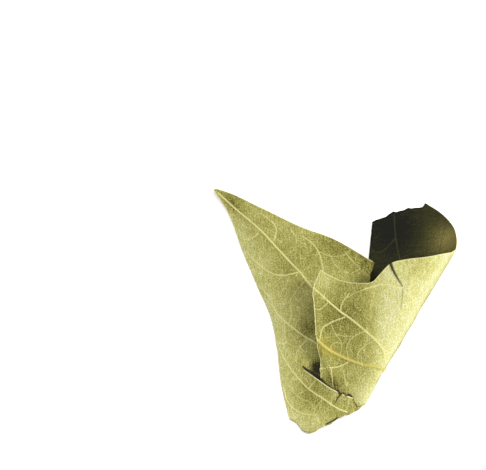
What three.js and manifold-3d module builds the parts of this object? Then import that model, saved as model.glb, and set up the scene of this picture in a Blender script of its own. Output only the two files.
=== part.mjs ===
// Dried avocado leaf, about 80 mm across, lying with its pale underside up.
//
// The leaf has broken across its blade. The tip half lies low and arches down to the surface at its
// left margin. The stalk half, still joined at a narrow bridge, has slid over it, rises to the right
// and curls under, so that it makes a cone-shaped roll with an open mouth at the back.
//
// Millimetres, +Z up. The origin is on the surface, under the middle of the leaf.

import * as THREE from 'three';
import { mergeVertices } from 'three/addons/utils/BufferGeometryUtils.js';
import Module from 'manifold-3d';

// Driving dimensions.
const THICKNESS = 0.5;             // the lamina, with its raised veins and small waves
const SKIN = THICKNESS / 2;
const TIP_ROWS = 26;               // tip half: rows from the tip to the break
const LOWER_ROWS = 8;              // rows from the break to the torn lower edge
const BLADE_COLUMNS = 14;          // from the left margin to the right edge
const ROLL_ROWS = 12;              // roll: rows from the bridge to its rim
const BRIDGE_REACH = 0.12;         // where the roll starts, as a share of the way to its rim
const CORNER_REACH = 0.4;          // the same at its torn corner, tucked under the lower lip
const CORNER_WIDTH = 0.3;          // share of the rim over which one turns into the other
const START_DIP = 0.6;             // the roll's start sinks into the blade by this much
const START_FADE = 0.16;           // and has risen out of it at this share of the way to the rim
const CRACK_START = 0.3;           // the break is open from here to the bridge, as a share across
const LIP_LIFT = 1.4;              // the lower lip of the break stands over the roll's corner
const LIP_DROP = 1.6;              // and the upper lip dips under it
const LIP_FADE = 0.09;             // how far the lips bend the blade, as a share of its length
const LIP_SAG = 3.4;               // how far the break bows towards the stalk end
const SAG_LEAN = 1.6;              // above 1, the bow is deepest right of the middle
const LIP_GAP = 0.006;             // half of the step between the lips, as a share of its length
const BREAK_AT = 0.77;             // the break across the blade, as a share from the tip
const CORNER_AT = 0.55;            // where the right margin ends, as a share from the tip to the break
const ARCH_SHAPE = 0.9;            // below 1, the blade's arch is fuller than a sine
const NORMAL_STEP = 0.004;         // parameter step for a surface's slopes
const ROLL_STEP = 0.6;             // the same along the roll's rim, as a share of a column
const WELD = 1e-5;                 // corners closer than this are one
const COLOURS = { underside: 0xc3bf73 };

const vector = ([x, y, z]) => new THREE.Vector3(x, y, z);
const curve = (points) => new THREE.CatmullRomCurve3(points.map(vector), false, 'centripetal');

// Edges of the tip half. Each starts at the tip.
const leftMargin = curve([
  [-39, 46.3, 1.6], [-34, 38, 0.9], [-29.5, 24.5, SKIN], [-25, 12.5, SKIN], [-20.5, 0.5, SKIN],
  [-18.5, -11, SKIN],
]);
const rightMargin = curve([
  [-38, 46.8, 1.8], [-32.3, 44, 2.8], [-21, 36.8, 4.5], [-10.3, 30.2, 5.8], [-0.5, 25.8, 6.6],
  [8.3, 19.8, 7.2], [12.2, 17, 7.2],
]);
const coveredEdge = curve([
  [12.2, 17, 7.2], [11.2, 12.7, 7], [9.5, 3, 5.8], [7.5, -6.5, 4.2], [5.5, -16, 3],
  [7, -28.8, 2.3],
]);

// Edges below the break.
const lowerMargin = curve([
  [-18.5, -11, SKIN], [-17.5, -22, SKIN], [-15, -34.5, SKIN],
]);
const tornEdge = curve([
  [-15, -34.5, SKIN], [-13, -36, SKIN], [-9.5, -39.6, SKIN], [-6.3, -38.8, 0.7], [-1, -36, 1.6],
  [1.2, -34.3, 2], [5.5, -33, 2], [8.5, -29.2, 1.2],
]);
const bridgeEdge = curve([
  [7, -28.8, 2.3], [8.5, -29.2, 1.2],
]);

// The roll's straight lines all head for one point, just past the bridge, and end on its rim. The
// rim runs up the torn side, along the natural margin, round the mouth and back underneath.
const apex = new THREE.Vector3(4.5, -37, 0.9);
const rim = [
  { columns: 9, line: curve([
    [-5.1, -22.2, 4.2], [-5.3, -16.4, 5.9], [-6.2, -12, 7.5], [-6.8, -6.4, 9], [-7.1, -0.3, 10.3],
    [-7.4, 5.1, 11.4], [-6.7, 7.7, 11.9], [-5, 11.6, 12.8],
  ]) },
  { columns: 16, line: curve([
    [-5, 11.6, 12.8], [-1.7, 9.4, 12.6], [2.1, 7.6, 12.8], [6.7, 6.5, 13.5], [11.1, 6.3, 14.6],
    [13.3, 8.3, 15.4], [17.1, 11.6, 17.3], [22.1, 12.6, 18.1], [27.5, 13.4, 17.9],
    [32.9, 15.7, 15.6], [36.8, 18.5, 11.5],
  ]) },
  { columns: 12, line: curve([
    [36.8, 18.5, 11.5], [38.3, 22, 7.6], [38.7, 26.8, 5], [37.7, 32.8, 2.4], [34.1, 38.2, 0.9],
    [29.1, 42.3, SKIN],
  ]) },
  { columns: 6, line: curve([
    [29.1, 42.3, SKIN], [28.2, 40.8, SKIN], [25.2, 40.4, SKIN], [20.3, 39.3, SKIN],
    [15.5, 37, SKIN], [12, 35.3, SKIN],
  ]) },
];

// Arch of the blade between its edges, in mm, from the tip to the torn lower edge.
const archHeight = new THREE.SplineCurve([
  new THREE.Vector2(0, 0), new THREE.Vector2(0.25, 1.8), new THREE.Vector2(0.5, 3),
  new THREE.Vector2(0.75, 3), new THREE.Vector2(1, 0.8),
]);

// A point of the tip half: u from the left margin to the right edge, v from the tip to the break.
function tipHalf(u, v) {
  const right = v < CORNER_AT
    ? rightMargin.getPointAt(v / CORNER_AT)
    : coveredEdge.getPointAt((v - CORNER_AT) / (1 - CORNER_AT));
  return leftMargin.getPointAt(v).lerp(right, u);
}

// A point below the break, on the patch that its four edges span.
function lowerHalf(u, v) {
  const across = leftMargin.getPointAt(1).lerp(coveredEdge.getPointAt(1), u);
  const sides = lowerMargin.getPointAt(v).lerp(bridgeEdge.getPointAt(v), u);
  const ends = across.clone().lerp(tornEdge.getPointAt(u), v);
  const corners = across.lerp(lowerMargin.getPointAt(1).lerp(bridgeEdge.getPointAt(1), u), v);
  return sides.add(ends).sub(corners);
}

// How far the lips of the break lift or lower the blade at (u, v).
function lipHeight(u, v) {
  if (u <= CRACK_START) return 0;
  const opening = Math.sin(Math.PI * (u - CRACK_START) / (1 - CRACK_START));
  const step = v > BREAK_AT ? LIP_LIFT : -LIP_DROP;
  return step * opening * Math.exp(-Math.abs(v - BREAK_AT) / LIP_FADE);
}

// How far the break's bow moves the blade at (u, v) towards the stalk end.
function lipSag(u, v) {
  return LIP_SAG * Math.sin(Math.PI * u ** SAG_LEAN) * Math.exp(-Math.abs(v - BREAK_AT) / LIP_FADE);
}

// A point of the blade: u from left to right, v from the tip to the torn lower edge.
function blade(u, v) {
  const point = v <= BREAK_AT
    ? tipHalf(u, v / BREAK_AT)
    : lowerHalf(u, (v - BREAK_AT) / (1 - BREAK_AT));
  point.y -= lipSag(u, v);
  point.z += archHeight.getPoint(v).y * Math.sin(Math.PI * u) ** ARCH_SHAPE + lipHeight(u, v);
  return point;
}

// Rows are even above and below the break, with one thin row across the step between its lips.
function bladeRow(share) {
  const row = Math.round(share * (TIP_ROWS + LOWER_ROWS + 1));
  const upperLip = BREAK_AT - LIP_GAP;
  const lowerLip = BREAK_AT + LIP_GAP;
  if (row <= TIP_ROWS) return upperLip * row / TIP_ROWS;
  return lowerLip + (1 - lowerLip) * (row - TIP_ROWS - 1) / LOWER_ROWS;
}

// The rim as a list of points, one for each column edge of the roll.
function rimPoints() {
  const points = rim.flatMap(({ columns, line }) => line.getSpacedPoints(columns).slice(0, -1));
  points.push(rim.at(-1).line.getPoint(1));
  return points;
}

const rimStations = rimPoints();
const rollColumns = rimStations.length - 1;

// A point of the roll: u along the rim, v from the bridge out to the rim.
function roll(u, v) {
  const station = Math.min(Math.max(u, 0), 1) * rollColumns;
  const index = Math.min(Math.floor(station), rollColumns - 1);
  const onRim = rimStations[index].clone().lerp(rimStations[index + 1], station - index);
  const tuck = 1 - THREE.MathUtils.smoothstep(u, 0, CORNER_WIDTH);
  const start = THREE.MathUtils.lerp(BRIDGE_REACH, CORNER_REACH, tuck);
  const point = apex.clone().lerp(onRim, start + (1 - start) * v);
  const dip = START_DIP * (1 - THREE.MathUtils.smoothstep(v, 0, START_FADE));
  point.z = Math.max(point.z - dip, SKIN);
  return point;
}

// The side that a surface faces at (u, v), from its slopes either way.
function facing(surface, u, v, stepU) {
  const low = Math.max(v - NORMAL_STEP, 0);
  const high = Math.min(v + NORMAL_STEP, 1);
  const alongU = surface(Math.min(u + stepU, 1), v).sub(surface(Math.max(u - stepU, 0), v));
  const alongV = surface(u, high).sub(surface(u, low));
  return alongU.cross(alongV).normalize();
}

// A sheet of the leaf's thickness on a surface, as a box whose grid follows it.
function sheet(surface, columns, rows, stepU, rowAt = (share) => share) {
  const geometry = new THREE.BoxGeometry(1, 1, 1, columns, rows, 1);
  const position = geometry.attributes.position;
  for (let i = 0; i < position.count; i += 1) {
    const u = position.getX(i) + 0.5;
    const v = rowAt(position.getY(i) + 0.5);
    const offset = facing(surface, u, v, stepU).multiplyScalar(position.getZ(i) * THICKNESS);
    const point = surface(u, v).add(offset);
    position.setXYZ(i, point.x, point.y, point.z);
  }
  return geometry;
}

const wasm = await Module();
wasm.setup();

function solid(geometry) {
  const bare = geometry.clone();
  bare.deleteAttribute('normal');
  bare.deleteAttribute('uv');
  const merged = mergeVertices(bare, WELD);
  const body = new wasm.Manifold(new wasm.Mesh({
    numProp: 3,
    vertProperties: new Float32Array(merged.attributes.position.array),
    triVerts: new Uint32Array(merged.index.array),
  }));
  return body;
}

function geometryOf(body) {
  const mesh = body.getMesh();
  const geometry = new THREE.BufferGeometry();
  geometry.setAttribute('position', new THREE.BufferAttribute(mesh.vertProperties, 3));
  geometry.setIndex(new THREE.BufferAttribute(mesh.triVerts, 1));
  return geometry;
}

const bladeRows = TIP_ROWS + LOWER_ROWS + 1;
const bladeSolid = solid(sheet(blade, BLADE_COLUMNS, bladeRows, NORMAL_STEP, bladeRow));
const rollSolid = solid(sheet(roll, rollColumns, ROLL_ROWS, ROLL_STEP / rollColumns));
const leafGeometry = geometryOf(bladeSolid.add(rollSolid));

// Bring the middle of the leaf over the origin, with its lowest point on the surface.
leafGeometry.computeBoundingBox();
const middle = leafGeometry.boundingBox.getCenter(new THREE.Vector3());
leafGeometry.translate(-middle.x, -middle.y, -leafGeometry.boundingBox.min.z);

const leafMaterial = new THREE.MeshStandardMaterial({
  color: COLOURS.underside,
  roughness: 0.7,
  metalness: 0,
});
const leaf = new THREE.Mesh(leafGeometry, leafMaterial);
leaf.name = 'avocado_leaf';

const model = new THREE.Group();
model.add(leaf);

export default model;
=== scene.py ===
"""A dried avocado leaf, broken across and curled, lying on a pale table with its underside up.

The tip half arches low over the surface. The stalk half has slid over it and rolls under at the right
into an open cone. Both are thin sheets of one leaf, joined at a narrow bridge at the near side.
"""

import bisect
import math

import bmesh
import bpy
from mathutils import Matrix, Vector, kdtree, noise


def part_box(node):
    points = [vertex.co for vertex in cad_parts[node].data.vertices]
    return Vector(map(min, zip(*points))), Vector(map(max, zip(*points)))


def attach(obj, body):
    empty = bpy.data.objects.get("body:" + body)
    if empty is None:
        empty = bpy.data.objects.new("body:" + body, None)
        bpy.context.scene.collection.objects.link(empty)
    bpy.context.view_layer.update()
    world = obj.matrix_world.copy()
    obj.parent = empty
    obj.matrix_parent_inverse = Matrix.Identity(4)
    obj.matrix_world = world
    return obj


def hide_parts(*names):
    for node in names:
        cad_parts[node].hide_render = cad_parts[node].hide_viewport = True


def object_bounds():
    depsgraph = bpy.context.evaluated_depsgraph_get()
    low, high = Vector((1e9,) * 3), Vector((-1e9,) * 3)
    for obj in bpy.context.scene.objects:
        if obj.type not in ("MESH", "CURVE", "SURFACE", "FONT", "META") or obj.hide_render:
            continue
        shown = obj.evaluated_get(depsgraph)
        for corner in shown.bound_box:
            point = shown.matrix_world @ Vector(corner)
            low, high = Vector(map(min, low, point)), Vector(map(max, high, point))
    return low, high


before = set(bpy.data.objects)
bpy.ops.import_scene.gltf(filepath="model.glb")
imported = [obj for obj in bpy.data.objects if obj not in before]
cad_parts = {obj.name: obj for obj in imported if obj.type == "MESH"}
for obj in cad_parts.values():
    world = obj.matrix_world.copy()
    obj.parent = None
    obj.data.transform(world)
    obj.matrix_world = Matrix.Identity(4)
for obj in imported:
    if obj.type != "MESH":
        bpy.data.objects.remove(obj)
cad_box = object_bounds()

MM = 0.001

# The sheets' driving sizes, in millimetres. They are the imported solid's, apart from two that are
# finer here: the solid is 0.5 mm thick, because it takes in the raised veins, and its lips stand
# three times as far apart.
FLOOR_LINE = 0.25            # height of the sheet's middle where it lies on the surface
LAMINA = 0.3                 # thickness of the dry lamina
BREAK_AT = 0.77              # the break across the blade, as a share of the way from the tip
CRACK_START = 0.3            # the break is open from here to the bridge, as a share across
CORNER_AT = 0.55             # where the tip half's right margin ends, as a share from tip to break
LIP_LIFT = 1.4               # the lower lip of the break stands over the roll's corner
LIP_DROP = 1.6               # and the upper lip dips under it
LIP_FADE = 0.09              # how far the lips bend the blade, as a share of its length
LIP_SAG = 3.4                # how far the break bows towards the stalk end
SAG_LEAN = 1.6               # above 1, the bow is deepest right of the middle
LIP_GAP = 0.002              # half of the gap between the lips, as a share of the blade's length
BRIDGE_REACH = 0.12          # where the roll starts, as a share of the way to its rim
CORNER_REACH = 0.4           # the same at its torn corner, tucked under the lower lip
CORNER_WIDTH = 0.3           # share of the rim over which one turns into the other
START_DIP = 0.6              # the roll's start sinks into the blade by this much
START_FADE = 0.16            # and has risen out of it at this share of the way to the rim
ARCH_SHAPE = 0.9             # below 1, the blade's arch is fuller than a sine
ROLL_SAMPLES = 480           # steps round the rim that unrolling the roll counts in

# Torn edges: how far their steps stand in or out, in millimetres.
COVERED_TEAR = 0.8           # the tip half's edge under the roll
LOWER_TEAR = 0.6             # the leaf's lower end
SIDE_TEAR = 0.8              # the roll's torn side
END_TEAR = 0.9               # the end of the roll's under wall
STEPS_PER_MM = 0.35          # how closely the broadest steps follow each other
TEAR_FADE = 0.02             # share of the rim over which a tear starts or ends

# Small waves of the dry lamina: how high, and how many to a millimetre.
BROAD_WAVE, BROAD_WAVES_PER_MM = 0.32, 0.11
SMALL_WAVE, SMALL_WAVES_PER_MM = 0.07, 0.42
FREE_HEIGHT = 2.0            # below this height the surface under the leaf flattens the waves

# Grid of each sheet before it is refined along its veins, tears and margins.
BLADE_COLUMNS = 32
TIP_ROWS = 84
LOWER_ROWS = 24
ROLL_COLUMNS = 108
ROLL_ROWS = 50
REFINE_REACH = (0.75, 0.38)  # how near a vein or an edge the two refinements work, in millimetres


# ---------------------------------------------------------------- curves

class Line:
    """A smooth curve through the given points, measured along its length."""

    def __init__(self, points, steps=24):
        self.points = smooth_curve(points, steps)
        self.reach = [0.0]
        for before, after in zip(self.points, self.points[1:]):
            self.reach.append(self.reach[-1] + (after - before).length)
        self.length = self.reach[-1]

    def at(self, share):
        """The point a share of the way along, from 0 to 1."""
        goal = min(max(share, 0.0), 1.0) * self.length
        index = min(max(bisect.bisect_right(self.reach, goal) - 1, 0), len(self.points) - 2)
        span = self.reach[index + 1] - self.reach[index]
        part = (goal - self.reach[index]) / span if span > 0 else 0.0
        return self.points[index].lerp(self.points[index + 1], part)


def smooth_curve(points, steps):
    """Points along a centripetal Catmull-Rom curve, a few between each two of the given ones."""
    knots = [Vector(point) for point in points]
    knots = [2 * knots[0] - knots[1], *knots, 2 * knots[-1] - knots[-2]]
    curve = []
    for a, b, c, d in zip(knots, knots[1:], knots[2:], knots[3:]):
        t1 = math.sqrt((b - a).length)
        t2 = t1 + math.sqrt((c - b).length)
        t3 = t2 + math.sqrt((d - c).length)
        for step in range(steps):
            t = t1 + (t2 - t1) * step / steps
            early = a.lerp(b, t / t1).lerp(b.lerp(c, (t - t1) / (t2 - t1)), t / t2)
            last_chord = c.lerp(d, (t - t2) / (t3 - t2))
            late = b.lerp(c, (t - t1) / (t2 - t1)).lerp(last_chord, (t - t1) / (t3 - t1))
            curve.append(early.lerp(late, (t - t1) / (t2 - t1)))
    curve.append(knots[-2])
    return curve


def smoothstep(value, low, high):
    share = min(max((value - low) / (high - low), 0.0), 1.0)
    return share * share * (3 - 2 * share)


def mixed(low, high, share):
    return low + (high - low) * share


# ---------------------------------------------------------------- the leaf's outline, in millimetres

LEFT_MARGIN = Line([
    (-39, 46.3, 1.6), (-34, 38, 0.9), (-29.5, 24.5, FLOOR_LINE), (-25, 12.5, FLOOR_LINE),
    (-20.5, 0.5, FLOOR_LINE), (-18.5, -11, FLOOR_LINE)])
RIGHT_MARGIN = Line([
    (-38, 46.8, 1.8), (-32.3, 44, 2.8), (-21, 36.8, 4.5), (-10.3, 30.2, 5.8), (-0.5, 25.8, 6.6),
    (8.3, 19.8, 7.2), (12.2, 17, 7.2)])
COVERED_EDGE = Line([
    (12.2, 17, 7.2), (11.2, 12.7, 7), (9.5, 3, 5.8), (7.5, -6.5, 4.2), (5.5, -16, 3), (7, -28.8, 2.3)])
LOWER_MARGIN = Line([
    (-18.5, -11, FLOOR_LINE), (-17.5, -22, FLOOR_LINE), (-15, -34.5, FLOOR_LINE)])
TORN_EDGE = Line([
    (-15, -34.5, FLOOR_LINE), (-13, -36, FLOOR_LINE), (-9.5, -39.6, FLOOR_LINE), (-6.3, -38.8, 0.7),
    (-1, -36, 1.6), (1.2, -34.3, 2), (5.5, -33, 2), (8.5, -29.2, 1.2)])
BRIDGE_EDGE = Line([
    (7, -28.8, 2.3), (8.5, -29.2, 1.2)])
ARCH = Line([(0, 0, 0), (0.25, 1.8, 0), (0.5, 3, 0), (0.75, 3, 0), (1, 0.8, 0)])

APEX = Vector((4.5, -37, 0.9))
TORN_SIDE = Line([
    (-5.1, -22.2, 4.2), (-5.3, -16.4, 5.9), (-6.2, -12, 7.5), (-6.8, -6.4, 9), (-7.1, -0.3, 10.3),
    (-7.4, 5.1, 11.4), (-6.7, 7.7, 11.9), (-5, 11.6, 12.8)])
TOP_MARGIN = Line([
    (-5, 11.6, 12.8), (-1.7, 9.4, 12.6), (2.1, 7.6, 12.8), (6.7, 6.5, 13.5), (11.1, 6.3, 14.6),
    (13.3, 8.3, 15.4), (17.1, 11.6, 17.3), (22.1, 12.6, 18.1), (27.5, 13.4, 17.9), (32.9, 15.7, 15.6),
    (36.8, 18.5, 11.5)])
MOUTH_MARGIN = Line([
    (36.8, 18.5, 11.5), (38.3, 22, 7.6), (38.7, 26.8, 5), (37.7, 32.8, 2.4), (34.1, 38.2, 0.9),
    (29.1, 42.3, FLOOR_LINE)])
TORN_END = Line([
    (29.1, 42.3, FLOOR_LINE), (28.2, 40.8, FLOOR_LINE), (25.2, 40.4, FLOOR_LINE),
    (20.3, 39.3, FLOOR_LINE), (15.5, 37, FLOOR_LINE), (12, 35.3, FLOOR_LINE)])
RIM_PARTS = [TORN_SIDE, TOP_MARGIN, MOUTH_MARGIN, TORN_END]
RIM_LENGTH = sum(part.length for part in RIM_PARTS)


def rim_point(share):
    """A point of the roll's rim, from its torn corner round to the end underneath."""
    goal = min(max(share, 0.0), 1.0) * RIM_LENGTH
    for part in RIM_PARTS:
        if goal <= part.length or part is RIM_PARTS[-1]:
            return part.at(goal / part.length)
        goal -= part.length


def rim_share(part_index):
    """The share of the rim where one of its four parts starts."""
    return sum(part.length for part in RIM_PARTS[:part_index]) / RIM_LENGTH


# ---------------------------------------------------------------- the two sheets as surfaces

def ragged(place, size, seed):
    """Uneven steps of a torn edge, in millimetres, for a place along it."""
    dimension, lacunarity, octaves = 0.6, 2.1, 3
    return size * noise.fractal(Vector((place * STEPS_PER_MM, seed, 0)), dimension, lacunarity, octaves)


def tip_half(u, v):
    if v < CORNER_AT:
        right = RIGHT_MARGIN.at(v / CORNER_AT)
    else:
        share = (v - CORNER_AT) / (1 - CORNER_AT)
        right = COVERED_EDGE.at(share)
        tear = smoothstep(share, 0.0, 0.03) * (1 - smoothstep(share, 0.85, 1.0))
        right.x += tear * ragged(share * COVERED_EDGE.length, COVERED_TEAR, 3.1)
    return LEFT_MARGIN.at(v).lerp(right, u)


def lower_half(u, v):
    across = LEFT_MARGIN.at(1).lerp(COVERED_EDGE.at(1), u)
    sides = LOWER_MARGIN.at(v).lerp(BRIDGE_EDGE.at(v), u)
    torn = TORN_EDGE.at(u)
    torn.y += smoothstep(u, 0.02, 0.1) * ragged(u * TORN_EDGE.length, LOWER_TEAR, 7.7)
    ends = across.lerp(torn, v)
    corners = across.lerp(LOWER_MARGIN.at(1).lerp(BRIDGE_EDGE.at(1), u), v)
    return sides + ends - corners


def lip_height(u, v):
    """How far the lips of the break lift or lower the blade."""
    if u <= CRACK_START:
        return 0.0
    opening = math.sin(math.pi * (u - CRACK_START) / (1 - CRACK_START))
    step = LIP_LIFT if v > BREAK_AT else -LIP_DROP
    return step * opening * math.exp(-abs(v - BREAK_AT) / LIP_FADE)


def blade_point(u, v):
    """A point of the blade: u from left to right, v from the tip to the torn lower edge."""
    if v <= BREAK_AT:
        point = tip_half(u, v / BREAK_AT)
    else:
        point = lower_half(u, (v - BREAK_AT) / (1 - BREAK_AT))
    point.y -= LIP_SAG * math.sin(math.pi * u ** SAG_LEAN) * math.exp(-abs(v - BREAK_AT) / LIP_FADE)
    point.z += ARCH.at(v).y * math.sin(math.pi * u) ** ARCH_SHAPE + lip_height(u, v)
    return point


def rim_arms():
    """Straight lines from the apex to evenly spaced points of the rim."""
    return [rim_point(index / ROLL_SAMPLES) - APEX for index in range(ROLL_SAMPLES + 1)]


def roll_angles():
    """The angle that the roll has turned through at each sample of its rim, once laid flat."""
    arms = rim_arms()
    turned = [math.atan2(arms[0].x, arms[0].y)]
    for before, after in zip(arms, arms[1:]):
        turned.append(turned[-1] + before.angle(after))
    return turned


ROLL_ANGLES = roll_angles()
PLAN_ANGLES = [math.atan2(arm.x, arm.y) for arm in rim_arms()]
FOLD_SAMPLE = PLAN_ANGLES.index(max(PLAN_ANGLES))      # where the roll turns under


def roll_reach(u):
    """Where the roll starts, as a share of the way from the apex to its rim."""
    return mixed(CORNER_REACH, BRIDGE_REACH, smoothstep(u, 0.0, CORNER_WIDTH))


def roll_tear(u):
    """How much of the rim is torn away at u, in millimetres."""
    side_end = rim_share(1)
    end_start = rim_share(3)
    if u < side_end:
        fade = smoothstep(u, 0.0, TEAR_FADE) * (1 - smoothstep(u, side_end - TEAR_FADE, side_end))
        return fade * ragged(u * RIM_LENGTH, SIDE_TEAR, 11.3)
    if u > end_start:
        fade = smoothstep(u, end_start, end_start + TEAR_FADE)
        return fade * ragged(u * RIM_LENGTH, END_TEAR, 5.9)
    return 0.0


def roll_arm(u, v):
    """The straight line from the apex to the roll's point at (u, v)."""
    arm = rim_point(u) - APEX
    out = roll_reach(u) + (1 - roll_reach(u)) * v
    arm = arm * (out + v * v * roll_tear(u) / arm.length)
    dip = START_DIP * (1 - smoothstep(v, 0.0, START_FADE))
    arm.z = max(arm.z - dip, FLOOR_LINE - APEX.z)
    return arm


def roll_flat(u, distance):
    """Where a point of the roll lies once the roll is laid flat."""
    place = min(max(u, 0.0), 1.0) * ROLL_SAMPLES
    index = min(int(place), ROLL_SAMPLES - 1)
    angle = mixed(ROLL_ANGLES[index], ROLL_ANGLES[index + 1], place - index)
    return Vector((APEX.x + distance * math.sin(angle), APEX.y + distance * math.cos(angle), 0))


def roll_flat_from_above(x, y):
    """The same for a point of the roll's upper wall, given by its place seen from straight above."""
    angle = math.atan2(x - APEX.x, y - APEX.y)
    low = next((i for i in range(FOLD_SAMPLE) if PLAN_ANGLES[i + 1] >= angle), FOLD_SAMPLE - 1)
    span = PLAN_ANGLES[low + 1] - PLAN_ANGLES[low]
    share = (low + min(max((angle - PLAN_ANGLES[low]) / span, 0), 1)) / ROLL_SAMPLES
    arm = rim_point(share) - APEX
    distance = math.hypot(x - APEX.x, y - APEX.y) * arm.length / math.hypot(arm.x, arm.y)
    return roll_flat(share, distance)


# ---------------------------------------------------------------- veins, laid flat

# Widths of the veins and of the thickened margin, in millimetres.
MIDRIB, SIDE, BRANCH, FINE, HAIR = 0.5, 0.42, 0.36, 0.28, 0.2
RIM_WIDTH = 0.42
VEIN_RISE = 0.4              # a vein's height, as a share of its width
VEIN_STEP = 0.1              # how closely a vein is marked, in millimetres
VEIN_REACH = 1.2             # no vein is felt further away than this, in millimetres
VEIN_FOOT = 1.3              # a vein meets the lamina at this many of its half widths
VEIN_CORE = 0.5              # and has its full colour within this many
FAINTEST_VEIN = 0.25         # how strongly the thinnest vein shows, from 0 to 1
VEIN_SHOW = 3.2              # and how much more each millimetre of half width adds

# Each vein: its points, then its width at the start and at the end.
BLADE_VEINS = [
    ([(-37.5, 45.2), (-31, 38.2), (-26.5, 33.5), (-22.5, 29), (-16, 20.5), (-12, 15.5), (-8, 9.5),
      (-2, 2)], BRANCH, MIDRIB),
    ([(-12, 14.5), (-17, 14.3), (-21, 16.2), (-25, 20), (-28, 23.8)], SIDE, FINE),
    ([(-24.5, 29.5), (-27, 28.2), (-29.5, 28.7)], BRANCH, FINE),
    ([(-19.5, 26.5), (-18.8, 29), (-19.2, 31.5), (-20.3, 33.3)], BRANCH, FINE),
    ([(-26, 35.6), (-24.2, 36.4), (-21.8, 34.6), (-19.3, 31.5)], HAIR, HAIR),
    ([(-10.5, 27), (-7.5, 24.5), (-5.6, 21.5), (-4.6, 18.5), (-4, 14)], FINE, BRANCH),
    ([(-16, 21), (-13, 23), (-12.5, 26.5), (-14, 29.5)], HAIR, HAIR),
    ([(-12.5, 26), (-9.5, 24)], HAIR, HAIR),
    ([(3, 20.5), (6.5, 16), (10.5, 12)], FINE, HAIR),
    ([(-5.6, 21.5), (-1.5, 19.5), (3, 20), (5, 22)], HAIR, HAIR),
    ([(-1.5, 19.5), (0.5, 15.5), (4.5, 13.2), (7.5, 14.8)], HAIR, HAIR),
    ([(-24, 12), (-21, 7.5), (-18.5, 1.5), (-15, -2.6), (-10.5, -7), (-4, -11.5)], FINE, SIDE),
    ([(-9.5, 11.5), (-12.5, 8), (-14.5, 4.5), (-14, 1), (-15, -2.5)], HAIR, FINE),
    ([(-20.5, 7), (-17.5, 8.5), (-15.5, 11), (-14.5, 14.4)], HAIR, HAIR),
    ([(-8, 8), (-12, 4), (-11.5, 0), (-13, -4)], HAIR, HAIR),
    ([(-16, -1.6), (-16.5, -5), (-15.5, -8.5), (-12, -10.5), (-9, -8.6)], HAIR, HAIR),
    ([(-19, -7.2), (-16, -14.8), (-13, -19.8), (-9, -25), (-4.5, -28.8), (0.5, -32.4), (3, -33.3)],
     FINE, SIDE),
    ([(-9.2, -8.2), (-12.5, -12.2), (-13.2, -15.4), (-15, -16.6)], FINE, HAIR),
    ([(-16.8, -23.5), (-15.5, -28.5), (-13.4, -31.3), (-11, -33), (-7.5, -33.8)], BRANCH, FINE),
    ([(-9, -25), (-6.8, -22.8), (-5.6, -20.6)], FINE, HAIR),
    ([(-13, -19.8), (-14.5, -23), (-12.5, -27), (-8.5, -29.5)], HAIR, HAIR),
    ([(-4.5, -28.8), (-7, -32.5), (-5.8, -36)], HAIR, HAIR),
    ([(-9.8, -36.5), (-7.2, -35.6), (-4.6, -36.8)], HAIR, HAIR),
]

# Veins on the roll's upper wall, by their places seen from straight above.
ROLL_VEINS_FROM_ABOVE = [
    ([(-8.2, 6.8), (-2.8, 1.8), (1.2, -1.8), (5.2, -5), (9.4, -9), (12.4, -12), (14.6, -15),
      (14.9, -17.6)], SIDE, MIDRIB),
    ([(3.5, -17.6), (0, -18.9), (-5.4, -19.2)], BRANCH, FINE),
    ([(1.2, -1.8), (1.8, 0.8), (4, 3.6)], BRANCH, FINE),
    ([(3, 2.2), (5.5, 3.4), (8.5, 4.2)], HAIR, HAIR),
    ([(8.5, 4.2), (11.5, 4.9), (15, 5.2), (18.5, 4.2), (22.5, 2), (26, -1)], BRANCH, SIDE),
    ([(2.5, -3.6), (-2, -5.1), (-4.5, -7), (-5.5, -11)], BRANCH, FINE),
    ([(-2.5, 1.4), (-5.5, -1), (-7.5, -0.6)], FINE, FINE),
    ([(-2, -5), (-0.5, -8.5), (1.5, -11.5), (1, -15.2)], HAIR, HAIR),
    ([(9, -8.6), (5.5, -9.8), (3.2, -12.5), (3.5, -16.4)], FINE, HAIR),
    ([(5.5, -9.8), (1.2, -9.2), (-0.5, -8.5)], HAIR, HAIR),
    ([(12, -11.8), (8.8, -13), (6.5, -15.5), (6.8, -18)], HAIR, HAIR),
    ([(-2.5, -14), (-1, -11.4), (1.5, -11.5)], HAIR, HAIR),
    ([(22.5, 2), (23.5, 6.5), (22.8, 12.4)], HAIR, HAIR),
    ([(23.3, 6), (27, 8.5), (30, 13.5)], HAIR, HAIR),
    ([(-2, -19), (-1.6, -22), (-1.2, -25)], FINE, HAIR),
    ([(1.5, -18.3), (2.2, -21.5), (3, -25)], HAIR, HAIR),
    ([(-4, 10.5), (-3, 6.5), (-4, 3)], HAIR, HAIR),
]

# Veins on the part that curls under, by share round the rim and share of the way out to it.
ROLL_VEINS_UNDERNEATH = [
    ([(0.655, 0.5), (0.7, 0.62), (0.75, 0.8), (0.79, 0.98)], SIDE, FINE),
    ([(0.66, 0.36), (0.74, 0.44), (0.84, 0.6), (0.92, 0.85), (0.94, 0.98)], SIDE, FINE),
    ([(0.75, 0.8), (0.82, 0.78), (0.88, 0.74)], FINE, HAIR),
    ([(0.7, 0.62), (0.78, 0.6), (0.84, 0.6)], FINE, HAIR),
    ([(0.92, 0.85), (0.96, 0.8), (0.99, 0.82)], FINE, HAIR),
    ([(0.8, 0.54), (0.9, 0.5), (0.98, 0.55)], FINE, HAIR),
]

# The thick yellow rib across the roll, which runs on underneath.
THICK_RIB = [(-6.6, -10.4), (-3.6, -13), (0, -15), (3.5, -16.8), (8, -18.8), (11.5, -19.5), (15, -19.2)]
THICK_RIB_WIDTHS = (0.95, 0.65)
RIB_RUNS_ON = (6, 14, 24)    # how far, in millimetres

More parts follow.
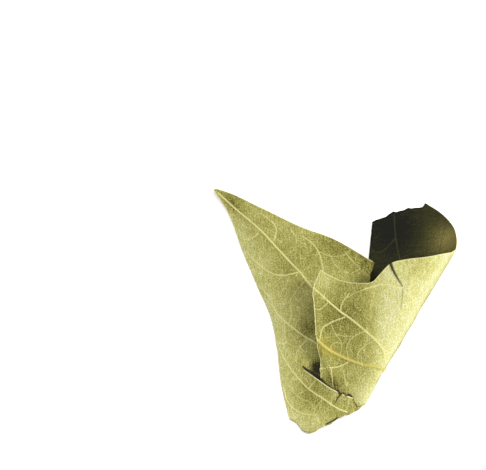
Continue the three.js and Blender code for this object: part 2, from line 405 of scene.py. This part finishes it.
# Dark marks, painted in the torn edges' brown: painted shade in the open end of the break and under its
# lip, and the crack beside the bridge and its branch, the slit in the roll's margin, and the split at
# the torn lower edge.
OPEN_BREAK_SHADE = [(-10.6, -17.4), (-9, -18.8), (-7.3, -20.1), (-5.6, -21.4)]
LIP_SHADE = [(-5.2, -22.7), (-3.2, -24.3), (-1, -26.1), (0.6, -27.3)]
BRIDGE_CRACK = [(0.2, -26.4), (1.1, -27.5), (2, -27.2), (2.8, -28), (3.6, -27.5), (4.6, -28.2)]
SLIT = [(16.6, 12.4), (17.6, 9.6), (19, 7), (20.6, 4.4)]
SLIT_END = [(20.7, 3.6), (20.4, 0.6), (20, -2.4)]
LIP_BRANCH = [(0.8, -28), (0, -29), (-0.4, -30), (-1.2, -31)]
EDGE_SPLIT = [(0, -35.2), (-1.6, -36.2), (-3.4, -37.1)]

# Soft patches of tone: middle, reach, and how much paler (above 0) or deeper the lamina is there.
# On the blade, four are painted shade: the shadow the roll's torn side casts beside it (two patches),
# the dark hole at the open end of the break, and the blade's end where it runs under the roll. The
# others deepen or pale the lamina in places.
BLADE_TONES_AND_PAINTED_SHADE = [
    ((1, 24, 6.5), 9, -0.2), ((10, 17, 7.2), 5, -0.25), ((-16, 16, 3.5), 8, -0.09),
    ((-9.5, 3, 4.5), 5, 0.08), ((-8, -5, 4), 3, -0.3), ((-34, 41, 2), 5, -0.2),
    ((-6, -18, 3.2), 2.1, -0.8), ((-8.2, 1, 4.3), 2.5, -0.22), ((-8, -28, 3), 6, -0.16),
    ((-9, -36, 0.5), 5, 0.2), ((3, -32, 2), 5, -0.13)]
RIB_STAIN = [((-5.5, -11.5, 8), 2.2, 0.4), ((-2.5, -13.8, 8), 2.4, 0.4), ((1, -15.6, 8), 2, 0.25)]
# On the roll, four are painted light and shade: the shade just above the lip of the break (two
# patches), the shade deep inside the roll at its left, and the light inside its mouth at the right. The
# others deepen or pale the lamina in places.
ROLL_TONES_AND_PAINTED_LIGHT_AND_SHADE = [
    ((-4, 9, 12), 5, 0.27), ((-4, -19, 5), 4, 0.08), ((-2.5, -22.8, 4.5), 2.2, -0.2),
    ((0, -25, 4.5), 2.2, -0.25), ((7, -22, 5), 5, 0.09), ((8, -28, 3), 4, 0.35),
    ((1, -5, 11), 5, -0.13), ((27, 13, 17.9), 7, -0.2), ((18, 32, 0.5), 9, -0.35),
    ((37, 27, 4), 8, 0.9)]

# Tone of the lamina away from the patches, from 0, deepest, to 1, palest.
BLADE_TONE = 0.535
MARGIN_PALENESS = 0.2        # paler by this at the blade's left margin
MARGIN_BAND = 0.35           # which fades over this share of the blade's width
UPPER_WALL_TONE = 0.42
UNDER_WALL_TONE = 0.27
WALL_TURN = (0.6, 0.68)      # shares of the rim between which the upper wall becomes the under wall
RIGHT_PAINTED_LIGHT = 0.39                # painted light: the upper wall pales by this towards the right, where the key light falls
RIGHT_PAINTED_LIGHT_BAND = (6.0, 17.0)    # between these places, in millimetres
FOLD_HIGHLIGHT = 0.12         # and by this along its fold, as a painted highlight
FOLD_SPREAD = 0.05           # share of the rim that the fold's painted highlight takes up


def flat(points):
    return [Vector((x, y, 0)) for x, y in points]


def vein_marks(lines):
    """Closely spaced marks along veins: (place, half width, height), for finding the nearest one."""
    marks = []
    for points, start_width, end_width in lines:
        line = Line(points, 8)
        count = max(int(line.length / VEIN_STEP), 2)
        for index in range(count + 1):
            share = index / count
            width = mixed(start_width, end_width, share)
            marks.append((line.at(share), width / 2, VEIN_RISE * width))
    return marks


def vein_tree(marks):
    tree = kdtree.KDTree(len(marks))
    for index, (place, _, _) in enumerate(marks):
        tree.insert(place, index)
    tree.balance()
    return tree


def vein_profile(place, marks, tree):
    """The vein's height above the lamina at a place, and how fully the place is vein."""
    height = 0.0
    cover = 0.0
    for _, index, distance in tree.find_range(place, VEIN_REACH):
        _, half_width, rise = marks[index]
        foot = VEIN_FOOT * half_width
        height = max(height, rise * max(0.0, 1 - (distance / foot) ** 2))
        strength = min(1.0, FAINTEST_VEIN + VEIN_SHOW * half_width)
        cover = max(cover, strength * (1 - smoothstep(distance, VEIN_CORE * half_width, foot)))
    return height, cover


# ---------------------------------------------------------------- meshing

# The tear layer also carries painted shade: the open end of the break and the shade under its lip.
LAYERS = ("vein", "rib", "rim", "tear")


class Sheet:
    """One sheet of the leaf: a grid in its own two directions, refined where it has fine detail."""

    def __init__(self, columns, rows, point_at, flat_at, tone_at, veins, ribs, margins, tear_and_shade_marks):
        self.mesh = bmesh.new()
        bmesh.ops.create_grid(self.mesh, x_segments=columns, y_segments=rows, size=0.5)
        self.flat = self.mesh.verts.layers.float_vector.new("flat")
        self.layers = {name: self.mesh.verts.layers.float.new(name)
                       for name in (*LAYERS, "tone", "stain")}
        self.point_at = point_at
        self.tone_at = tone_at
        self.flat_at = flat_at
        self.marks = {
            "vein": vein_marks(veins), "rib": vein_marks(ribs),
            "rim": vein_marks([(line, RIM_WIDTH, RIM_WIDTH) for line in margins]),
            "tear": vein_marks(tear_and_shade_marks),
        }
        self.trees = {name: vein_tree(marks) for name, marks in self.marks.items()}
        self.note_flat(self.mesh.verts)

    def note_flat(self, verts):
        for vert in verts:
            vert[self.flat] = self.flat_at(vert.co.x + 0.5, vert.co.y + 0.5)

    def nearest(self, place):
        """The distance to the nearest vein, rib, margin or tear."""
        return min(self.trees[name].find(place)[2] if self.marks[name] else math.inf
                   for name in LAYERS)

    def refine(self):
        """Halves the faces along veins, margins, torn edges and painted shade marks, twice."""
        for reach in REFINE_REACH:
            near = []
            for edge in self.mesh.edges:
                first, second = (vert[self.flat] for vert in edge.verts)
                if self.nearest((first + second) / 2) < reach + (first - second).length / 2:
                    near.append(edge)
            made = bmesh.ops.subdivide_edges(self.mesh, edges=near, cuts=1, use_grid_fill=True)
            self.note_flat([item for item in made["geom_inner"]
                            if isinstance(item, bmesh.types.BMVert)])

    def shape(self):
        """Puts every point on the sheet's surface, then raises the veins and the lamina's waves."""
        for vert in self.mesh.verts:
            u, v = vert.co.x + 0.5, vert.co.y + 0.5
            vert.co = self.point_at(u, v)
            vert[self.layers["tone"]] = self.tone_at(u, v, vert.co)
            vert[self.layers["stain"]] = patches(vert.co, RIB_STAIN)
        self.mesh.normal_update()
        moves = []
        for vert in self.mesh.verts:
            rise = 0.0
            for name in LAYERS:
                height, cover = vein_profile(vert[self.flat], self.marks[name], self.trees[name])
                vert[self.layers[name]] = cover
                rise = max(rise, height) if name in ("vein", "rib") else rise
            free = smoothstep(vert.co.z, FLOOR_LINE, FREE_HEIGHT)
            moves.append(vert.normal * (rise + free * ripple(vert.co)))
        for vert, move in zip(self.mesh.verts, moves):
            vert.co += move
            vert.co.z = max(vert.co.z, FLOOR_LINE)
        return self.mesh


def ripple(point):
    """Small waves of a dry lamina, in millimetres."""
    broad = noise.noise(point * BROAD_WAVES_PER_MM + Vector((3.3, 0, 0)))
    small = noise.noise(point * SMALL_WAVES_PER_MM + Vector((0, 9.1, 0)))
    return BROAD_WAVE * broad + SMALL_WAVE * small


def blade_row(share):
    """The way down the blade at a share of its rows, with one thin row across the break."""
    row = share * (TIP_ROWS + LOWER_ROWS + 1)
    upper_lip = BREAK_AT - LIP_GAP
    lower_lip = BREAK_AT + LIP_GAP
    if row <= TIP_ROWS:
        return upper_lip * row / TIP_ROWS
    if row <= TIP_ROWS + 1:
        return mixed(upper_lip, lower_lip, row - TIP_ROWS)
    return mixed(lower_lip, 1.0, (row - TIP_ROWS - 1) / LOWER_ROWS)


def blade_from_grid(x, y):
    return blade_point(x, blade_row(1 - y))


def blade_flat(x, y):
    point = blade_from_grid(x, y)
    return Vector((point.x, point.y, 0))


def patches(place, tones):
    """The sum of soft patches of tone at a place."""
    return sum(amount * math.exp(-((place - Vector(middle)).length / reach) ** 2)
               for middle, reach, amount in tones)


def blade_tone(u, v, place):
    """The lamina is paler along its left margin, and has the blade's patches of tone and painted shade.
    """
    margin = 1 - smoothstep(u, 0.0, MARGIN_BAND)
    return BLADE_TONE + MARGIN_PALENESS * margin + patches(place, BLADE_TONES_AND_PAINTED_SHADE)


def roll_tone(u, v, place):
    """The upper wall has painted light towards the right and a painted highlight along its fold; the
    under wall is deep throughout.
    """
    upper_wall = 1 - smoothstep(u, *WALL_TURN)
    painted_light = RIGHT_PAINTED_LIGHT * smoothstep(place.x, *RIGHT_PAINTED_LIGHT_BAND)
    fold = FOLD_HIGHLIGHT * math.exp(-((u - FOLD_SAMPLE / ROLL_SAMPLES) / FOLD_SPREAD) ** 2)
    upper_tone = UPPER_WALL_TONE + painted_light + fold
    return mixed(UNDER_WALL_TONE, upper_tone, upper_wall) + patches(place, ROLL_TONES_AND_PAINTED_LIGHT_AND_SHADE)


RIGHT_MARGIN_SHARE = 0.42    # share of the blade's right side that is the natural margin
LIP_SPAN = (CRACK_START + 0.04, 0.66)         # where the lip's pale edge starts, and how far it runs
LIP_OFFSET = Vector((-0.1, -0.25, 0))         # it lies just below the break


def blade_mesh():
    """The blade's middle surface, open along the break."""
    rows = TIP_ROWS + LOWER_ROWS + 1
    left = [blade_flat(0, step / 40) for step in range(41)]
    right = [blade_flat(1, 1 - RIGHT_MARGIN_SHARE * step / 30) for step in range(31)]
    break_line = 1 - TIP_ROWS / rows
    lip = [blade_flat(LIP_SPAN[0] + LIP_SPAN[1] * step / 16, break_line) + LIP_OFFSET
           for step in range(17)]
    veins = [(flat(points), start, end) for points, start, end in BLADE_VEINS]
    # Each tear, or the painted shade in the open end of the break: its points, then its width at the
    # start and at the end.
    tear_and_shade_marks = [(flat(OPEN_BREAK_SHADE), 0.6, 2.0), (flat(BRIDGE_CRACK), 1.2, 0.7),
             (flat(LIP_BRANCH), 0.6, 0.25), (flat(EDGE_SPLIT), 0.5, 0.6)]
    sheet = Sheet(BLADE_COLUMNS, rows, blade_from_grid, blade_flat, blade_tone,
                  veins, [], [left, right, lip], tear_and_shade_marks)

    # The thin row across the break, with a little to spare above and below, is taken out.
    open_low = 0.5 - (TIP_ROWS + 1.1) / rows
    open_high = 0.5 - (TIP_ROWS - 0.1) / rows
    torn = [face for face in sheet.mesh.faces
            if all(open_low < vert.co.y < open_high and vert.co.x + 0.5 > CRACK_START
                   for vert in face.verts)]
    bmesh.ops.delete(sheet.mesh, geom=torn, context="FACES_ONLY")
    sheet.refine()
    return sheet.shape()


def roll_from_grid(x, y):
    return APEX + roll_arm(x, y)


def roll_flat_from_grid(x, y):
    return roll_flat(x, roll_arm(x, y).length)


def roll_from_above(points):
    return [roll_flat_from_above(x, y) for x, y in points]


def roll_mesh():
    """The roll's middle surface."""
    mouth_end = rim_share(3)
    margin = [roll_flat_from_grid(mixed(rim_share(1), mouth_end, step / 60), 1) for step in range(61)]
    torn_side = [roll_flat_from_grid(rim_share(1) * step / 30, 1) for step in range(31)]
    veins = [(roll_from_above(points), start, end) for points, start, end in ROLL_VEINS_FROM_ABOVE]
    veins += [([roll_flat_from_grid(x, y) for x, y in points], start, end)
              for points, start, end in ROLL_VEINS_UNDERNEATH]
    rib = roll_from_above(THICK_RIB)
    rib += [rib[-1] + (rib[-1] - rib[-2]).normalized() * step for step in RIB_RUNS_ON]
    # Each torn mark, with the painted shade under the lip of the break among them: its points, then its
    # width at the start and at the end.
    tear_and_shade_marks = [(roll_from_above(SLIT), 1.3, 0.35), (roll_from_above(SLIT_END), 0.3, 0.22),
             (roll_from_above(LIP_SHADE), 0.8, 0.5), (roll_from_above(BRIDGE_CRACK), 1.3, 0.7)]
    sheet = Sheet(ROLL_COLUMNS, ROLL_ROWS, roll_from_grid, roll_flat_from_grid, roll_tone,
                  veins, [(rib, *THICK_RIB_WIDTHS)], [margin, torn_side], tear_and_shade_marks)
    sheet.refine()
    return sheet.shape()


def sheet_object(name, mesh, materials):
    """A closed thin sheet from its middle surface: underside, upper side and edge."""
    data = bpy.data.meshes.new(name)
    bmesh.ops.scale(mesh, vec=(MM, MM, MM), verts=mesh.verts)
    for face in mesh.faces:
        face.smooth = True
    mesh.to_mesh(data)
    mesh.free()
    piece = bpy.data.objects.new(name, data)
    bpy.context.collection.objects.link(piece)
    for material in materials:
        data.materials.append(material)
    thicken = piece.modifiers.new("thickness", "SOLIDIFY")
    thicken.thickness = LAMINA * MM
    thicken.offset = 0.0
    thicken.material_offset = 1
    thicken.material_offset_rim = 0
    return piece


def applied(piece):
    """The piece with its modifiers made part of its mesh."""
    depsgraph = bpy.context.evaluated_depsgraph_get()
    final = bpy.data.meshes.new_from_object(piece.evaluated_get(depsgraph), depsgraph=depsgraph)
    piece.modifiers.clear()
    piece.data = final
    return piece


def join_sheets(blade, roll):
    """One closed leaf from the blade and the roll, which meet at the bridge."""
    blade = applied(blade)
    roll = applied(roll)
    union = blade.modifiers.new("joined at the bridge", "BOOLEAN")
    union.operation = "UNION"
    union.solver = "MANIFOLD"
    union.object = roll
    leaf = applied(blade)
    bpy.data.objects.remove(roll)
    return leaf


# ---------------------------------------------------------------- finishes

def linear(hex_colour):
    """An sRGB hex colour as linear red, green, blue and alpha."""
    channels = [int(hex_colour[start:start + 2], 16) / 255 for start in (1, 3, 5)]
    return (*(c / 12.92 if c <= 0.04045 else ((c + 0.055) / 1.055) ** 2.4 for c in channels), 1.0)


def add(material, kind, settings=None, links=None):
    """Adds a node with its settings; links maps its inputs to nodes' outputs or to plain values."""
    tree = material.node_tree
    node = tree.nodes.new(kind)
    for name, value in (settings or {}).items():
        setattr(node, name, value)
    for name, source in (links or {}).items():
        if isinstance(source, bpy.types.NodeSocket):
            tree.links.new(source, node.inputs[name])
        else:
            node.inputs[name].default_value = source
    return node


# Brown of torn edges, also used for the painted shade in the open break and under its lip.
TORN_BROWN_AND_SHADE = "#2a220b"
SHEEN_LEVEL = 0.25           # dry leaf hardly shines
GRAIN_IN_BUMP = 0.9          # how much the grain counts beside the net of veins
BUMP_STRENGTH = 0.6
BUMP_HEIGHT = 0.15 * MM

# How far each pattern shifts the tone.
MOTTLE, BLOTCH, STREAK, GRAIN = 0.22, 0.1, 0.4, 0.5
WIDE_NET = 0.7               # the wide net's strength beside the fine net's


def leaf_side(name, tones, finishes, net_strength, roughness):
    """One side of a dry leaf: its lamina, from deep to pale, with its veins and margin on it."""
    material = bpy.data.materials.new(name)
    material.use_nodes = True
    shader = material.node_tree.nodes["Principled BSDF"]
    link = material.node_tree.links.new
    place = add(material, "ShaderNodeTexCoord").outputs["Object"]
    flat_place = add(material, "ShaderNodeAttribute", {"attribute_name": "flat"}).outputs["Vector"]

    # Broad mottling about 9 mm across, blotches of 2 mm, and a dusty grain of half a millimetre.
    mottle, blotch, grain = (
        add(material, "ShaderNodeTexNoise", None,
            {"Vector": place, "Scale": 1 / (size_mm * MM), "Detail": detail, "Roughness": rough}
            ).outputs["Fac"]
        for size_mm, detail, rough in ((9, 3.0, 0.55), (2, 3.0, 0.65), (0.5, 2.0, 0.6)))

    # Fine streaks slanting across the lamina, half a millimetre apart and 3 mm long.
    along = add(material, "ShaderNodeMapping", None,
                {"Vector": flat_place, "Rotation": (0, 0, math.radians(35)),
                 "Scale": (1 / 0.5, 1 / 3.0, 1.0)})
    streak = add(material, "ShaderNodeTexNoise", None,
                 {"Vector": along.outputs["Vector"], "Scale": 1.0, "Detail": 2.0}).outputs["Fac"]

    # The net of small veins: meshes of about 0.8 mm inside meshes of about 4 mm, unevenly plain.
    # A vein's half width is a share of its mesh.
    bent = add(material, "ShaderNodeTexNoise", None,
               {"Vector": flat_place, "Scale": 0.6, "Detail": 3.0}).outputs["Color"]
    bent = add(material, "ShaderNodeVectorMath", {"operation": "MULTIPLY_ADD"},
               {0: bent, 1: (1.5, 1.5, 0.0), 2: flat_place}).outputs["Vector"]
    nets = []
    for mesh_mm, half_width in ((0.8, 0.22), (4.0, 0.035)):
        to_vein = add(material, "ShaderNodeTexVoronoi",
                      {"feature": "DISTANCE_TO_EDGE", "voronoi_dimensions": "2D"},
                      {"Vector": bent, "Scale": 1 / mesh_mm}).outputs["Distance"]
        nets.append(add(material, "ShaderNodeMapRange", {"interpolation_type": "SMOOTHSTEP"},
                        {"Value": to_vein, "From Min": 0.0, "From Max": half_width,
                         "To Min": 1.0, "To Max": 0.0}).outputs["Result"])
    plainness = add(material, "ShaderNodeMapRange", {"interpolation_type": "SMOOTHSTEP"},
                    {"Value": blotch, "From Min": 0.35, "From Max": 0.65,
                     "To Min": 0.4}).outputs["Result"]
    net, wide_net = (add(material, "ShaderNodeMath", {"operation": "MULTIPLY"},
                         {0: pattern, 1: plainness}).outputs[0] for pattern in nets)

    # Each pattern shifts the tone about its own middle value.
    tone = add(material, "ShaderNodeAttribute", {"attribute_name": "tone"}).outputs["Fac"]
    for pattern, middle, weight in ((mottle, 0.5, MOTTLE), (blotch, 0.5, BLOTCH), (streak, 0.5, STREAK),
                                    (grain, 0.5, GRAIN), (net, 0.45, net_strength),
                                    (wide_net, 0.05, WIDE_NET * net_strength)):
        centred = add(material, "ShaderNodeMath", {"operation": "SUBTRACT"},
                      {0: pattern, 1: middle}).outputs[0]
        tone = add(material, "ShaderNodeMath", {"operation": "MULTIPLY_ADD"},
                   {0: centred, 1: weight, 2: tone}).outputs[0]
    ramp = add(material, "ShaderNodeValToRGB", None, {"Fac": tone})
    stops = ramp.color_ramp.elements
    for _ in tones[2:]:
        stops.new(0.5)
    for index, tint in enumerate(tones):
        stops[index].position = index / (len(tones) - 1)
        stops[index].color = linear(tint)
    colour = ramp.outputs["Color"]
    for layer, tint in finishes.items():
        cover = add(material, "ShaderNodeAttribute", {"attribute_name": layer}).outputs["Fac"]
        colour = add(material, "ShaderNodeMix", {"data_type": "RGBA"},
                     {0: cover, 6: colour, 7: linear(tint)}).outputs[2]
    link(colour, shader.inputs["Base Color"])

    height = add(material, "ShaderNodeMath", {"operation": "MULTIPLY_ADD"},
                 {0: grain, 1: GRAIN_IN_BUMP, 2: net}).outputs[0]
    bump = add(material, "ShaderNodeBump", None,
               {"Height": height, "Strength": BUMP_STRENGTH, "Distance": BUMP_HEIGHT}).outputs["Normal"]
    link(bump, shader.inputs["Normal"])
    shader.inputs["Roughness"].default_value = roughness
    shader.inputs["Specular IOR Level"].default_value = SHEEN_LEVEL
    return material


def underside_finish():
    # Pale, waxy underside of a dry leaf: olive yellow where it is deep, dusty cream where pale. The
    # deepest stops are reached where shade is painted, the palest where light is painted on the roll's
    # right side and fold.
    return leaf_side("dry_leaf_underside", ("#2e2810", "#7a752c", "#a8a357", "#c8c680", "#dfddb8"),
                     {"stain": "#ab9830", "vein": "#e0da92", "rib": "#c4b75e", "rim": "#e2dda2",
                      "tear": TORN_BROWN_AND_SHADE}, net_strength=0.27, roughness=0.6)


def upper_finish():
    # Upper side of a dry leaf: dark olive and dull, its veins only a little lighter.
    return leaf_side("dry_leaf_upper_side", ("#0e0f05", "#27270b", "#3e3b17", "#5a5429", "#7d733d"),
                     {"vein": "#45421f", "rib": "#45421f", "rim": "#5c5629", "tear": TORN_BROWN_AND_SHADE},
                     net_strength=0.12, roughness=0.85)


def table_finish():
    # White matt acrylic of a light table: an even, bright ground, lit a little from within.
    material = bpy.data.materials.new("white_matt_acrylic")
    material.use_nodes = True
    shader = material.node_tree.nodes["Principled BSDF"]
    shader.inputs["Base Color"].default_value = linear("#f7f5f4")
    shader.inputs["Roughness"].default_value = 0.9
    shader.inputs["Emission Color"].default_value = (1, 1, 1, 1)
    shader.inputs["Emission Strength"].default_value = 0.35
    return material


# ---------------------------------------------------------------- camera, light and table

CAMERA_ELEVATION = math.radians(62)
LENS_MM = 300.0
SENSOR_MM = 36.0
VIEW_WIDTH = 0.1555          # what the picture takes in across, in metres, at the leaf
AIM_LEFT = 0.0293            # the leaf stands right of and below the picture's middle
AIM_BACK = 0.0272


def place_camera():
    data = bpy.data.cameras.new("camera")
    data.lens = LENS_MM
    data.sensor_width = SENSOR_MM
    data.clip_end = 10
    camera = bpy.data.objects.new("camera", data)
    bpy.context.collection.objects.link(camera)
    distance = VIEW_WIDTH * LENS_MM / SENSOR_MM
    aim = Vector((-AIM_LEFT, AIM_BACK, 0))
    offset = Vector((0, -math.cos(CAMERA_ELEVATION), math.sin(CAMERA_ELEVATION))) * distance
    camera.location = aim + offset
    camera.rotation_euler = (math.pi / 2 - CAMERA_ELEVATION, 0, 0)
    bpy.context.scene.camera = camera


def place_lamp(name, location, size, power):
    data = bpy.data.lights.new(name, "AREA")
    data.shape = "DISK"
    data.size = size
    data.energy = power
    lamp = bpy.data.objects.new(name, data)
    lamp.location = location
    lamp.rotation_euler = (-Vector(location)).to_track_quat("-Z", "Y").to_euler()
    bpy.context.collection.objects.link(lamp)


def light_studio():
    # A soft key from the right, so that the roll shades the blade, and a wide fill from above.
    place_lamp("key_right", (0.62, -0.08, 0.6), size=0.3, power=6.9)
    place_lamp("fill_above", (-0.2, 0.1, 0.9), size=0.7, power=4.0)
    world = bpy.data.worlds.new("soft_room")
    bpy.context.scene.world = world
    world.use_nodes = True
    world.node_tree.nodes["Background"].inputs["Color"].default_value = (1, 1, 1, 1)
    world.node_tree.nodes["Background"].inputs["Strength"].default_value = 0.3
    bpy.context.scene.view_settings.view_transform = "Standard"


def lay_table():
    mesh = bmesh.new()
    bmesh.ops.create_grid(mesh, x_segments=1, y_segments=1, size=3.0)
    data = bpy.data.meshes.new("table_top")
    mesh.to_mesh(data)
    mesh.free()
    data.materials.append(table_finish())
    table = bpy.data.objects.new("table_top", data)
    table.location.z = cad_box[0][2]
    bpy.context.collection.objects.link(table)


# ---------------------------------------------------------------- the scene

def lay_in_place(leaf):
    """Moves the leaf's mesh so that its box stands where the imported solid's box does."""
    low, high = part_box("avocado_leaf")
    corners = [Vector(corner) for corner in leaf.bound_box]
    own_low = [min(corner[axis] for corner in corners) for axis in range(3)]
    own_high = [max(corner[axis] for corner in corners) for axis in range(3)]
    shift = Vector([(low[axis] + high[axis] - own_low[axis] - own_high[axis]) / 2 for axis in range(3)])
    shift.z = low[2] - own_low[2]
    for vertex in leaf.data.vertices:
        vertex.co += shift


place_camera()
light_studio()
lay_table()

finishes = [underside_finish(), upper_finish()]
leaf_blade = sheet_object("avocado_leaf_dry", blade_mesh(), finishes)
leaf_roll = sheet_object("leaf_roll", roll_mesh(), finishes)
dry_leaf = join_sheets(leaf_blade, leaf_roll)
lay_in_place(dry_leaf)
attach(dry_leaf, "root")
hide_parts("avocado_leaf")
